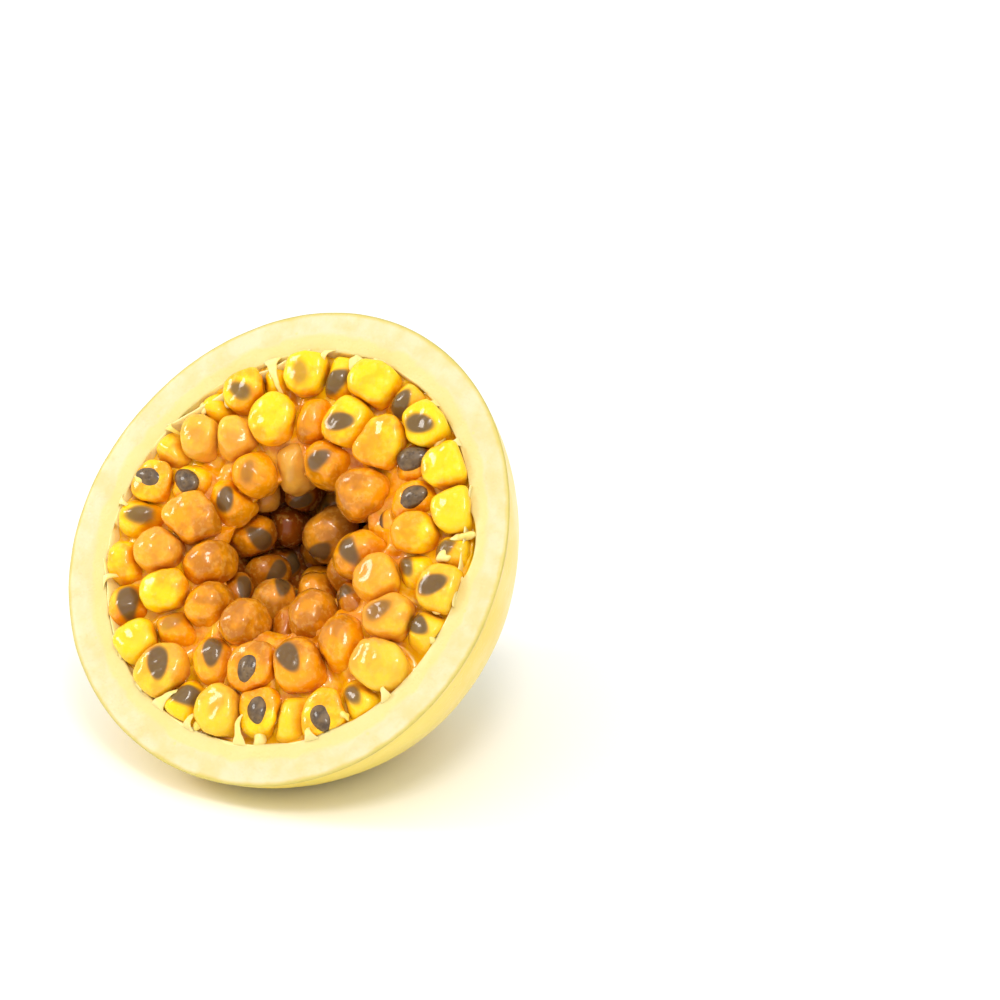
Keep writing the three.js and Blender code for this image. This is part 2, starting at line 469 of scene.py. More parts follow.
@dataclass(frozen=True)
class SkinFinish:
    """Ripe yellow skin: waxy, finely pored, a little greener and browner in places."""

    ripe: Colour = shade(244, 208, 60)
    pale: Colour = shade(244, 218, 92)
    green: Colour = shade(214, 206, 70)
    speck: Colour = shade(150, 112, 40)
    gloss: Gloss = Gloss(0.34, 0.25, 0.18, 1.5, 1.45, 0.12, (1.0, 0.7, 0.2), 1.2 * MM)

    def build(self, groups: Groups) -> bpy.types.Material:
        """Builds the material."""
        tree, surface = new_material("skin", self.gloss)
        place = tree.place()
        cloud = tree.group(groups.mottle, {"Place": place, "Scale": 45.0, "Detail": 2.0}).outputs["Tone"]
        patch = tree.group(groups.mottle, {"Place": place, "Scale": 130.0, "Detail": 4.0}).outputs["Tone"]
        pores = tree.group(groups.pores, {"Place": place, "Scale": 900.0, "Size": 0.34}).outputs["Dot"]
        specks = tree.group(groups.pores, {"Place": place, "Scale": 170.0, "Size": 0.07}).outputs["Dot"]
        colour = tree.blend(cloud, self.ripe, self.pale)
        colour = tree.blend(tree.maths("MULTIPLY", patch, 0.22), colour, self.green)
        colour = tree.blend(tree.maths("MULTIPLY", pores, 0.3), colour, self.pale)
        colour = tree.blend(tree.span(specks, 0.0, 0.6, 0.0, 0.55), colour, self.speck)
        colour = tree.blend(tree.span(tree.mask("stem_end"), 0.0, 1.0, 0.0, 0.75), colour, self.green)
        height = tree.maths("SUBTRACT", tree.maths("MULTIPLY", patch, 0.5), pores)
        dress(tree, surface, colour, height, 0.12 * MM, 0.35)
        rough = tree.span(patch, 0.0, 1.0, 0.28, 0.4)
        tree.tree.links.new(rough, surface.inputs["Roughness"])
        return bpy.data.materials["skin"]


@dataclass(frozen=True)
class PithFinish:
    """Cut pith: moist cream sponge, with the skin's thin line outside and a denser band inside."""

    cream: Colour = shade(224, 206, 164)
    ivory: Colour = shade(220, 197, 138)
    line: Colour = shade(200, 184, 88)
    band: Colour = shade(222, 203, 124)
    thread: Colour = shade(226, 204, 128)
    gloss: Gloss = Gloss(0.45, 0.25, 0.22, 1.4, 1.36, 0.3, (1.0, 0.85, 0.5), 1.5 * MM)

    def build(self, groups: Groups) -> bpy.types.Material:
        """Builds the material."""
        tree, surface = new_material("pith", self.gloss)
        place = tree.place()
        across = tree.mask("across")
        cloud = tree.group(groups.mottle, {"Place": place, "Scale": 260.0, "Detail": 5.0}).outputs["Tone"]
        sponge = tree.group(groups.pores, {"Place": place, "Scale": 1500.0, "Size": 0.5}).outputs["Dot"]
        threads = tree.group(groups.pores, {"Place": place, "Scale": 420.0, "Size": 0.16}).outputs["Dot"]
        colour = tree.blend(cloud, self.cream, self.ivory)
        inner = tree.maths("ADD", across, tree.maths("MULTIPLY", tree.maths("SUBTRACT", cloud, 0.5), 0.16))
        colour = tree.blend(tree.span(inner, 0.46, 0.3, 0.0, 0.75), colour, self.band)
        middle = tree.maths("MULTIPLY", tree.span(across, 0.15, 0.3), tree.span(across, 0.62, 0.48))
        threaded = tree.maths("MULTIPLY", tree.span(threads, 0.0, 0.5, 0.0, 0.7), middle)
        colour = tree.blend(threaded, colour, self.thread)
        edge = tree.maths("ADD", across, tree.maths("MULTIPLY", tree.maths("SUBTRACT", cloud, 0.5), 0.03))
        colour = tree.blend(tree.span(edge, 0.86, 0.97, 0.0, 0.85), colour, self.line)
        height = tree.maths("SUBTRACT", tree.maths("MULTIPLY", cloud, 1.2), tree.maths("MULTIPLY", sponge, 0.6))
        dress(tree, surface, colour, height, 0.15 * MM, 0.5)
        return bpy.data.materials["pith"]


@dataclass(frozen=True)
class LiningFinish:
    """The thin wet lining of the rind, and the strips, flaps and threads that belong to it, with painted shade in the
    slit behind the loosened lining.
    """

    pale: Colour = shade(240, 226, 164)
    gold: Colour = shade(244, 206, 60)
    # slit is the painted shade colour for the gap behind the loosened lining.
    slit: Colour = shade(120, 84, 30)
    gloss: Gloss = Gloss(0.3, 0.5, 0.12, 1.38, 1.34, 0.3, (1.0, 0.8, 0.4), 1.2 * MM)

    def build(self, groups: Groups) -> bpy.types.Material:
        """Builds the material."""
        tree, surface = new_material("lining", self.gloss)
        place = tree.place()
        cloud = tree.group(groups.mottle, {"Place": place, "Scale": 300.0, "Detail": 4.0}).outputs["Tone"]
        juice_stain_and_slit_shade = tree.mask("juice_stain_and_slit_shade")
        stain = tree.maths("MULTIPLY", juice_stain_and_slit_shade, tree.span(cloud, 0.0, 1.0, 0.45, 1.0))
        colour = tree.blend(stain, self.pale, self.gold)
        # Painted shade: where the mask passes 1.1, in the slit behind the loosened lining, the lining is painted dark
        # brown.
        colour = tree.blend(tree.span(juice_stain_and_slit_shade, 1.1, 1.6, 0.0, 0.9), colour, self.slit)
        dress(tree, surface, colour, cloud, 0.15 * MM, 0.45)
        return bpy.data.materials["lining"]


@dataclass(frozen=True)
class JuiceFinish:
    """Juice sacs: golden near the rind, orange further in; painted shade turns them red-brown deep in the hollow and
    deeper amber in the creases between sacs.

    A seed shows through as a soft dark egg where the mask named seed is 1.
    """

    gold: Colour = shade(255, 205, 10)
    orange: Colour = shade(242, 158, 4)
    brown: Colour = shade(188, 114, 14)
    # deep is the painted shade colour for the dark down in the hollow.
    deep: Colour = shade(130, 58, 8)
    seed: Colour = shade(98, 76, 46)
    halo: Colour = shade(172, 110, 18)
    # amber is the painted shade colour of the creases between sacs.
    amber: Colour = shade(208, 108, 0)
    milk: Colour = shade(255, 214, 110)
    clear: Colour = shade(218, 168, 70)
    gloss: Gloss = Gloss(0.22, 0.9, 0.04, 1.34, 1.26, 0.3, (1.0, 0.55, 0.04), 1.2 * MM)

    def build(self, groups: Groups) -> bpy.types.Material:
        """Builds the material."""
        tree, surface = new_material("juice", self.gloss)
        place = tree.place()
        cloud = tree.group(groups.mottle, {"Place": place, "Scale": 420.0, "Detail": 2.0}).outputs["Tone"]
        fine = tree.group(groups.mottle, {"Place": place, "Scale": 1300.0, "Detail": 3.0}).outputs["Tone"]
        inward, hollow_shade, seed = tree.mask("inward"), tree.mask("hollow_shade"), tree.mask("seed")
        hue = tree.mask("hue")
        shift = tree.maths("MULTIPLY", tree.maths("SUBTRACT", hue, 0.5), 0.7)
        shift = tree.maths("ADD", shift, tree.maths("MULTIPLY", tree.maths("SUBTRACT", cloud, 0.5), 0.4))
        inner = tree.maths("ADD", inward, shift)
        colour = tree.blend(tree.span(inner, 0.0, 0.6), self.gold, self.orange)
        colour = tree.blend(tree.span(inner, 0.6, 1.25), colour, self.brown)
        # Painted shade: the creases where sacs press together are painted deeper amber.
        crease_shade = tree.maths("MULTIPLY", tree.mask("crease_shade"), tree.span(cloud, 0.0, 1.0, 0.7, 1.0))
        colour = tree.blend(tree.maths("MULTIPLY", crease_shade, 0.75), colour, self.amber)
        # Painted shade: hollow_shade darkens the juice to deep red-brown down in the hollow and on its far wall.
        colour = tree.blend(tree.span(hollow_shade, 0.1, 0.9), colour, self.deep)
        fibre = tree.span(tree.maths("MULTIPLY", fine, tree.span(seed, 0.0, 0.3, 1.0, 0.3)), 0.5, 1.0, 0.0, 0.16)
        colour = tree.blend(fibre, colour, self.milk)
        colour = tree.blend(tree.maths("MULTIPLY", tree.mask("pale"), 0.8), colour, self.clear)
        colour = tree.blend(tree.span(seed, 0.02, 0.55, 0.0, 0.6), colour, self.halo)
        colour = tree.blend(tree.span(seed, 0.3, 0.85, 0.0, 0.92), colour, self.seed)
        height = tree.maths("ADD", cloud, tree.maths("MULTIPLY", fine, 0.5))
        dress(tree, surface, colour, height, 0.14 * MM, 0.28)
        return bpy.data.materials["juice"]


@dataclass(frozen=True)
class SeedFinish:
    """A bared seed: dark, pitted, under a film of juice."""

    dark: Colour = shade(72, 52, 30)
    grey: Colour = shade(134, 106, 66)
    gloss: Gloss = Gloss(0.4, 0.7, 0.06, 1.38, 1.4)

    def build(self, groups: Groups) -> bpy.types.Material:
        """Builds the material."""
        tree, surface = new_material("seed", self.gloss)
        place = tree.place()
        pits = tree.group(groups.pores, {"Place": place, "Scale": 1500.0, "Size": 0.42}).outputs["Dot"]
        cloud = tree.group(groups.mottle, {"Place": place, "Scale": 700.0, "Detail": 3.0}).outputs["Tone"]
        colour = tree.blend(tree.maths("MULTIPLY", cloud, 0.6), self.dark, self.grey)
        colour = tree.blend(tree.maths("MULTIPLY", pits, 0.8), colour, self.dark)
        dress(tree, surface, colour, tree.maths("SUBTRACT", 1.0, pits), 0.2 * MM, 0.6)
        return bpy.data.materials["seed"]


@dataclass(frozen=True)
class StemFinish:
    """Dry stem wood: brown, streaked and cracked."""

    brown: Colour = shade(112, 84, 50)
    dark: Colour = shade(58, 42, 26)
    pale: Colour = shade(170, 140, 90)
    gloss: Gloss = Gloss(0.85, 0.0, 0.3, 1.5, 1.45)

    def build(self, groups: Groups) -> bpy.types.Material:
        """Builds the material."""
        tree, surface = new_material("stem", self.gloss)
        place = tree.place()
        streak = tree.group(groups.mottle, {"Place": place, "Scale": 1400.0, "Detail": 4.0}).outputs["Tone"]
        cloud = tree.group(groups.mottle, {"Place": place, "Scale": 500.0, "Detail": 3.0}).outputs["Tone"]
        colour = tree.blend(streak, self.brown, self.dark)
        colour = tree.blend(tree.maths("MULTIPLY", cloud, 0.4), colour, self.pale)
        dress(tree, surface, colour, streak, 0.15 * MM, 0.8)
        return bpy.data.materials["stem"]


@dataclass(frozen=True)
class Finishes:
    """Every material of the fruit."""

    skin: bpy.types.Material
    pith: bpy.types.Material
    lining: bpy.types.Material
    juice: bpy.types.Material
    seed: bpy.types.Material
    stem: bpy.types.Material

    @classmethod
    def build(cls) -> "Finishes":
        """Builds the shared groups, then each finish."""
        groups = Groups(mottle_group(), pore_group())
        kinds = (SkinFinish, PithFinish, LiningFinish, JuiceFinish, SeedFinish, StemFinish)
        return cls(*(kind().build(groups) for kind in kinds))


# ---- the rind ------------------------------------------------------------------------------


@dataclass
class Rind:
    """Skin, pith and lining, grown as one thick cup."""

    shop: Workshop
    finishes: Finishes
    around: int = 256
    outer_rows: int = 150
    inner_rows: int = 96
    face_rings: int = 18
    edge_wave: float = 0.45 * MM
    face_wave: float = 0.16 * MM
    skin_wave: float = 0.10 * MM
    dimple: float = 0.9 * MM
    slit_from: float = 2.0
    slit_to: float = 22.0
    slit_width: float = 1.0 * MM

    def build(self) -> bpy.types.Object:
        """Builds the rind.

        Returns:
            The rind's object.
        """
        shape = self.shop.shape
        bm = bmesh.new()
        outer = self.cup(bm, shape.radius, shape.half_length, self.outer_rows)
        inner = self.cup(bm, shape.inner_radius, shape.inner_half_length, self.inner_rows)
        rims = [e for e in bm.edges if e.is_boundary]
        inner_faces = [f for f in bm.faces if f.verts[0] in inner]
        bmesh.ops.reverse_faces(bm, faces=inner_faces)
        for face in inner_faces:
            face.material_index = 2
        ring = bmesh.ops.bridge_loops(bm, edges=rims)
        for face in ring["faces"]:
            face.material_index = 1
        spokes = [e for e in ring["edges"] if not e.is_boundary and e not in rims]
        bmesh.ops.subdivide_edges(bm, edges=spokes, cuts=self.face_rings, use_grid_fill=True)
        bmesh.ops.recalc_face_normals(bm, faces=bm.faces)
        self.shape_surface(bm)
        self.rest(bm)
        f = self.finishes
        return self.shop.finish("rind", bm, (f.skin, f.pith, f.lining), Slot.RIND, ("rind_half",))

    def cup(
        self, bm: bmesh.types.BMesh, radius: float, half_length: float, rows: int
    ) -> set[bmesh.types.BMVert]:
        """Adds the part of an ellipsoid below the cut plane.

        Args:
            bm: The bmesh.
            radius: The ellipsoid's radius.
            half_length: Its half length.
            rows: Faces from pole to pole.

        Returns:
            The cup's vertices.
        """
        known = set(bm.verts)
        middle = Vector((0, 0, self.shop.shape.cut_offset))
        verts = ellipsoid(bm, Vector((radius, radius, half_length)), middle, self.around, rows)
        near = set(verts)
        edges = [e for e in bm.edges if e.verts[0] in near]
        faces = [f for f in bm.faces if f.verts[0] in near]
        cut = {"plane_co": (0, 0, 0), "plane_no": (0, 0, 1), "clear_outer": True}
        bmesh.ops.bisect_plane(bm, geom=verts + edges + faces, dist=1e-7, **cut)
        return {v for v in bm.verts if v not in known}

    def shape_surface(self, bm: bmesh.types.BMesh) -> None:
        """Gives the round cup its lobes, its uneven cut and its masks."""
        shape = self.shop.shape
        across, stem_end, juice_stain_and_slit_shade = self.shop.masks(bm, ("across", "stem_end", "juice_stain_and_slit_shade"))
        rim_out = shape.radius * math.sqrt(1 - (shape.cut_offset / shape.half_length) ** 2)
        rim_in = shape.inner_radius_at(0.0)
        for vert in bm.verts:
            place = vert.co.copy()
            flat = Vector((place.x, place.y, 0.0))
            out = flat.length
            share = (out - rim_in) / (rim_out - rim_in)
            on_cut = place.z > -1e-6 and -0.01 < share < 1.01
            slit = self.slit_depth(place)
            # Juice stain deepens lower down the lining; the slit adds painted shade, which paints the lining dark
            # brown in the gap where it has come loose.
            vert[juice_stain_and_slit_shade] = 0.25 + 0.5 * float(smooth_step(-1 * MM, -6 * MM, place.z)) + 1.2 * slit
            if on_cut:
                share = min(max(share, 0.0), 1.0)
                vert[across] = share
                around = flat.normalized() * rim_in
                edge = wobble(around, 4.5 * MM, 3.0) + 0.5 * wobble(around, 1.8 * MM, 9.0)
                out += (self.edge_wave * edge + self.slit_width * slit) * (1 - share) ** 2
                lift = wobble(flat, 7 * MM, 1.0) + 0.4 * wobble(flat, 1.6 * MM, 5.0)
                lift -= 1.6 * (1 - share) ** 4 + 1.4 * max(0.0, share - 0.93) / 0.07
                vert.co = flat.normalized() * out
                vert.co.z = self.face_wave * (lift - 0.6)
            elif share < 0.5 and place.z > -12 * MM and out < shape.inner_radius_at(place.z) + 1 * MM:
                near_cut = float(smooth_step(-4 * MM, -1 * MM, place.z))
                vert.co = flat.normalized() * (out + self.slit_width * slit * near_cut)
                vert.co.z = place.z
            else:
                vert[across] = 1.0
                vert[stem_end] = float(smooth_step(9 * MM, 0.0, place.z - shape.stem_end))
                normal = Vector((place.x, place.y, (place.z - shape.cut_offset) * 0.7)).normalized()
                swell = wobble(place, 16 * MM, 2.0) + 0.35 * wobble(place, 5 * MM, 6.0)
                fade = min(1.0, -place.z / (2 * MM))
                vert.co = place + normal * (self.skin_wave * swell * fade - 0.05 * MM)
                if vert[stem_end] > 0 and place.z < shape.stem_end + 4 * MM:
                    vert.co.z += self.dimple * math.exp(-((out / (4.2 * MM)) ** 2))
        self.shop.lobe(bm)

    def slit_depth(self, place: Vector) -> float:
        """Finds how far the lining has come loose from the pith at a place, from 0 to 1."""
        share = (math.degrees(math.atan2(place.y, place.x)) - self.slit_from) / (self.slit_to - self.slit_from)
        return math.sin(math.pi * share) ** 0.6 if 0 < share < 1 else 0.0

    def rest(self, bm: bmesh.types.BMesh) -> None:
        """Presses the underside onto the surface it stands on."""
        standing = self.shop.shape.standing()
        bmesh.ops.transform(bm, matrix=standing, verts=bm.verts)
        for vert in bm.verts:
            if vert.co.z < 0.0:
                vert.co.z = 0.0
        bmesh.ops.transform(bm, matrix=standing.inverted(), verts=bm.verts)


# ---- juice sacs and seeds ------------------------------------------------------------------


@dataclass
class Place:
    """Where one sac sits, how it leans, its size and how clearly its seed shows."""

    middle: np.ndarray
    turn: Euler
    size: float
    hue: float
    clear: float
    reach: float
    depths: tuple[float, float]
    opened: bool = False
    pale: float = 0.0


@dataclass(frozen=True)
class Bed:
    """The places open to some sacs: how many, their radii and depths, in millimetres."""

    count: int
    inner: float
    outer: float
    depth: float
    sink: float
    reach: float
    depths: tuple[float, float]


@dataclass
class Layout:
    """Spreads the sacs just where the CAD model has them, in millimetres until they are placed."""

    face_bed: Bed = Bed(49, 21.0, 28.4, 2.9, 0.0, 27.9, (-4.2, -1.9))
    hollow_bed: Bed = Bed(38, 0.0, 15.4, 4.6, 14.8, 16.6, (-20.5, -3.6))
    hollow_shift: tuple[float, float] = (-1.4, 2.6)
    loose_turn: float = 0.24
    loose_out: float = 1.1
    loose_depth: float = 1.1
    loose_lean: float = 0.34
    loose_size: float = 0.12
    spacing: float = 7.2
    rounds: int = 22
    give: float = 0.24
    golden: float = math.pi * (3 - math.sqrt(5))
    every_opened: int = 7
    jitter: Jitter = field(default_factory=lambda: Jitter(20731))
    tone: Jitter = field(default_factory=lambda: Jitter(77))

    def spread(self) -> tuple[list[Place], list[Place]]:
        """Places every sac.

        Returns:
            The sacs of the cut face and those of the hollow, in metres, in the round fruit's frame.
        """
        face = self.face()
        hollow = self.hollow()
        self.settle(face + hollow)
        for place in face + hollow:
            place.middle *= MM
        return face, hollow

    def loose(self, bed: Bed, angle: float, out: float, depth: float, shift: float) -> Place:
        """Puts a sac in its own loose place round the axis.

        Args:
            bed: The places open to it.
            angle: Its angle round the axis.
            out: Its distance from the axis.
            depth: Its depth below the cut.
            shift: How much of the hollow's shift it follows.

        Returns:
            Its place.
        """
        turned = angle + self.loose_turn * self.jitter()
        away = out + self.loose_out * self.jitter()
        z = -depth + self.loose_depth * self.jitter()
        lean = [self.loose_lean * self.jitter() for _ in range(3)]
        middle = np.array([away * math.cos(turned), away * math.sin(turned), z])
        middle[:2] += shift * np.array(self.hollow_shift)
        size = 1 + self.loose_size * self.jitter()
        turn = Euler((lean[0], lean[1], turned + lean[2]), "XYZ")
        hue = 0.5 + 0.5 * self.tone()
        clear = 0.5 + 0.5 * self.tone()
        return Place(middle, turn, size, hue, clear, bed.reach, bed.depths)

    def face(self) -> list[Place]:
        """Spreads the sacs of the cut face between two circles by the golden angle."""
        bed, places = self.face_bed, []
        for i in range(bed.count):
            share = (i + 0.5) / bed.count
            out = math.sqrt(bed.inner**2 + (bed.outer**2 - bed.inner**2) * share)
            places.append(self.loose(bed, i * self.golden, out, bed.depth, 0.6 * (1 - share)))
            places[-1].opened = i % self.every_opened == 2
        return places

    def hollow(self) -> list[Place]:
        """Spreads the sacs of the hollow evenly over a bowl shaped like a paraboloid."""
        bed, places = self.hollow_bed, []
        bend = 2 * bed.sink / bed.outer**2
        whole = (1 + (bend * bed.outer) ** 2) ** 1.5 - 1
        for i in range(bed.count):
            share = (i + 0.5) / bed.count
            out = math.sqrt((1 + share * whole) ** (2 / 3) - 1) / bend
            down = bed.depth + bed.sink * (1 - (out / bed.outer) ** 2)
            places.append(self.loose(bed, i * self.golden, out, down, 1.0))
        return places

    def settle(self, places: Sequence[Place]) -> None:
        """Lets crowded sacs push each other apart, each within its own reach and depths."""
        for _ in range(self.rounds):
            for i, place in enumerate(places):
                for other in places[:i]:
                    away = place.middle - other.middle
                    gap = float(np.linalg.norm(away))
                    crowding = self.spacing * (place.size + other.size) / 2 - gap
                    if crowding > 0:
                        away *= crowding * self.give / gap
                        place.middle += away
                        other.middle -= away
            for place in places:
                out = math.hypot(place.middle[0], place.middle[1])
                place.middle[:2] *= min(1.0, place.reach / out)
                place.middle[2] = min(max(place.middle[2], place.depths[0]), place.depths[1])


@dataclass(frozen=True)
class SacSizes:
    """The half sizes and habits of a juice sac."""

    half: tuple[float, float, float] = (4.3 * MM, 3.8 * MM, 4.6 * MM)
    plumpness: float = 2.2
    taper: float = 0.14
    proud: float = 1.5 * MM
    opened_top: float = 0.1 * MM
    press: float = 7.0
    seed_long: float = 2.45 * MM
    seed_wide: float = 1.5 * MM
    seed_half: tuple[float, float, float] = (2.6 * MM, 1.8 * MM, 1.1 * MM)
    seed_depth: float = 0.5 * MM


@dataclass
class Pulp:
    """All the juice sacs, the seeds that the knife bared and the jelly between them."""

    shop: Workshop
    finishes: Finishes
    sizes: SacSizes = SacSizes()
    layout: Layout = field(default_factory=Layout)
    inner_count: int = 24
    shaded_side: float = math.radians(125)
    hanging: tuple[float, float, float] = (-3.0, 9.5, -7.0)
    mask_names: tuple[str, ...] = ("seed", "inward", "hollow_shade", "hue", "crease_shade", "pale")
    face_sacs: list[Place] = field(default_factory=list)
    hollow_sacs: list[Place] = field(default_factory=list)

    def __post_init__(self) -> None:
        """Places every sac where the CAD model has it."""
        self.face_sacs, self.hollow_sacs = self.layout.spread()
        clearness = Jitter(4021)
        for place in self.face_sacs + self.hollow_sacs:
            place.pale = 0.7 * max(0.0, clearness() - 0.2)
        hanging = np.array(self.hanging) * MM
        nearest = min(self.hollow_sacs, key=lambda place: float(np.linalg.norm(place.middle - hanging)))
        nearest.pale, nearest.clear = 0.85, 0.0

    def build(self) -> None:
        """Builds every piece of the pulp."""
        split = self.inner_count
        nodes = [f"aril_{i + 1:02d}" for i in range(len(self.face_sacs))]
        self.cluster("inner_sacs", self.face_sacs[:split], nodes[:split], Slot.SAC, 5)
        self.cluster("outer_sacs", self.face_sacs[split:], nodes[split:], Slot.SAC, 5)
        self.cluster("hollow_sacs", self.hollow_sacs, (), Slot.DEEP, 5)
        self.flesh()
        self.jelly()
        self.seeds()

    def cluster(
        self, name: str, places: Sequence[Place], nodes: Sequence[str], slot: Slot, detail: int
    ) -> None:
        """Builds some sacs as one piece.

        Args:
            name: The piece's name.
            places: The sacs' places.
            nodes: The CAD nodes that it stands for.
            slot: The record's slot.
            detail: How finely each sac is divided.
        """
        bm = bmesh.new()
        layers = self.shop.masks(bm, self.mask_names)
        everyone = self.face_sacs + self.hollow_sacs
        for place in places:
            near = [o for o in everyone if o is not place and np.linalg.norm(o.middle - place.middle) < 11 * MM]
            self.sac(bm, layers, place, near, detail)
        self.shop.lobe(bm)
        self.shop.finish(name, bm, (self.finishes.juice,), slot, nodes)

    def inward_and_shade(self, co: Vector) -> tuple[float, float]:
        """Finds how far in a point of the pulp is, and how much painted shade it takes in the hollow.

        Args:
            co: The point, in the round fruit's frame.

        Returns:
            How far in from the rind, and the painted shade of the hollow, darkest deep down on its far wall, each
            from 0 to 1.
        """
        radius = math.hypot(co.x, co.y)
        inward = float(smooth_step(30.5 * MM, 11.0 * MM, radius))
        if radius > 18 * MM:
            return inward, 0.0
        # Painted shade: darkest on the hollow's far wall towards shaded_side, weaker on its floor, and growing with
        # depth.
        side = 0.47 + 0.35 * math.cos(math.atan2(co.y, co.x) - self.shaded_side)
        floor = float(smooth_step(9 * MM, 2 * MM, radius))
        side += (0.22 - side) * floor
        return inward, float(smooth_step(-3.5 * MM, -13.0 * MM, co.z)) * side

    def sac(
        self, bm: bmesh.types.BMesh, layers: Sequence, place: Place, near: Sequence[Place], detail: int
    ) -> None:
        """Adds one sac, pressed flat where its neighbours, the rind and the knife touch it.

        Args:
            bm: The bmesh of its cluster.
            layers: The masks to fill, in the order of their names.
            place: The sac's place.
            near: Its neighbours.
            detail: How finely it is divided.
        """
        made = bmesh.ops.create_icosphere(bm, subdivisions=detail, radius=1.0)["verts"]
        unit = np.array([v.co for v in made])
        sizes = self.sizes
        reach = (np.abs(unit) ** sizes.plumpness).sum(axis=1) ** (1 / sizes.plumpness)
        turn = np.array(place.turn.to_matrix())
        shaped = unit * np.array(sizes.half)
        shaped[:, 1] *= 1 - sizes.taper * unit[:, 0]
        rays = (shaped * (1.08 * place.size / reach)[:, None]) @ turn.T
        limits = [np.ones(len(made)), self.shop.shape.wall_share(place.middle, rays, 0.05 * MM)]
        for other in near:
            away = other.middle - place.middle
            gap = np.linalg.norm(away)
            towards = rays @ (away / gap)
            limits.append(np.where(towards > 0, (gap / 2) / np.maximum(towards, 1e-9), 1e3))
        top = sizes.opened_top if place.opened else sizes.proud
        limits.append(np.where(rays[:, 2] > 0, (top - place.middle[2]) / np.maximum(rays[:, 2], 1e-9), 1e3))
        limits = np.stack(limits)
        share = (limits**-sizes.press).sum(axis=0) ** (-1 / sizes.press)
        points = place.middle + rays * share[:, None]
        # Painted shade: how hard neighbours press here, for the deeper amber painted in the creases between sacs.
        pressed = smooth_step(1.25, 0.75, limits[2 : 2 + len(near)].min(axis=0))
        seed = self.seed_mask(points, place)
        for vert, point, mask, crease_shade in zip(made, points, seed, pressed):
            co = Vector(point)
            out = (co - Vector(place.middle)).normalized()
            fold = wobble(co, 3.4 * MM, place.hue * 9) + 0.5 * wobble(co, 1.5 * MM, 3.0)
            vert.co = co + out * 0.34 * MM * fold
            masks = (mask, *self.inward_and_shade(vert.co), place.hue, crease_shade, place.pale)
            for layer, value in zip(layers, masks):
                vert[layer] = float(value)

    def seed_mask(self, points: np.ndarray, place: Place) -> np.ndarray:
        """Finds where a sac's seed shows on its surface, seen from outside the fruit.

        Args:
            points: The sac's vertices.
            place: The sac's place.

        Returns:
            From 0 to 1 for each vertex.
        """
        sizes = self.sizes
        middle = place.middle
        radial = middle * np.array([1.0, 1.0, 0.0])
        radial /= max(np.linalg.norm(radial), 1e-9)
        deep = float(smooth_step(-5 * MM, -11 * MM, middle[2]))
        facing = np.array([0.0, 0.0, 1.0]) - radial * (0.25 + 1.1 * deep)
        facing /= np.linalg.norm(facing)
        yaw = place.turn.z + (place.hue - 0.5) * 2.4
        along = np.array([math.cos(yaw), math.sin(yaw), 0.0])
        along -= facing * (along @ facing)
        along /= np.linalg.norm(along)
        aside = np.cross(facing, along)
        rel = points - middle
        long = (rel @ along) / (sizes.seed_long * place.size)
        wide = (rel @ aside) / (sizes.seed_wide * place.size)
        taper = 1.0 + 0.22 * long
        distance = np.hypot(long, wide * taper)
        soft = 0.3 + 0.45 * (1 - place.clear)
        shows = 0.14 + 0.8 * float(smooth_step(0.4, 0.8, place.clear))
        mask = smooth_step(1.0 + soft, 1.0 - soft, distance) * shows
        front = smooth_step(-0.2, 0.4, (rel @ facing) / (3 * MM))
        return mask * front * (0.0 if place.opened else 1.0)

    def flesh(self) -> None:
        """Builds the deep flesh that the sacs of the hollow cling to, with its bowl."""
        shape = self.shop.shape
        half = Vector((shape.inner_radius, shape.inner_radius, shape.inner_half_length)) * 0.985
        bed = -8.2 * MM
        bm = self.bowl(half, Vector((0, 0, shape.cut_offset)), bed)
        shift = Vector((*self.layout.hollow_shift, 0)) * MM
        inside = self.bowl(Vector((12.4, 12.4, 12.4)) * MM, Vector((0, 0, bed)) + shift, bed)
        self.shop.absorb(bm, inside)
        rims = [e for e in bm.edges if e.is_boundary]
        bmesh.ops.triangle_fill(bm, edges=rims, use_beauty=True, normal=(0, 0, 1))
        bmesh.ops.recalc_face_normals(bm, faces=bm.faces)
        layers = self.shop.masks(bm, self.mask_names)
        for vert in bm.verts:
            co = vert.co
            if math.hypot(co.x, co.y) < 24 * MM:
                co.z += 0.5 * MM * wobble(co, 3 * MM)
            inward, _ = self.inward_and_shade(co)
            # The deep flesh is painted with hollow_shade 0.75 and full crease shade.
            for layer, value in zip(layers, (0.0, inward, 0.75, 0.5, 1.0, 0.0)):
                vert[layer] = value
        self.shop.lobe(bm)
        self.shop.finish("deep_flesh", bm, (self.finishes.juice,), Slot.DEEP, ("deep_arils",))

    @staticmethod
    def bowl(half: Vector, middle: Vector, level: float) -> bmesh.types.BMesh:
        """Makes the part of an ellipsoid below a level."""
        bm = bmesh.new()
        ellipsoid(bm, half, middle, 96, 64)
        cut = {"plane_co": (0, 0, level), "plane_no": (0, 0, 1), "clear_outer": True, "dist": 1e-7}
        bmesh.ops.bisect_plane(bm, geom=bm.verts[:] + bm.edges[:] + bm.faces[:], **cut)
        return bm

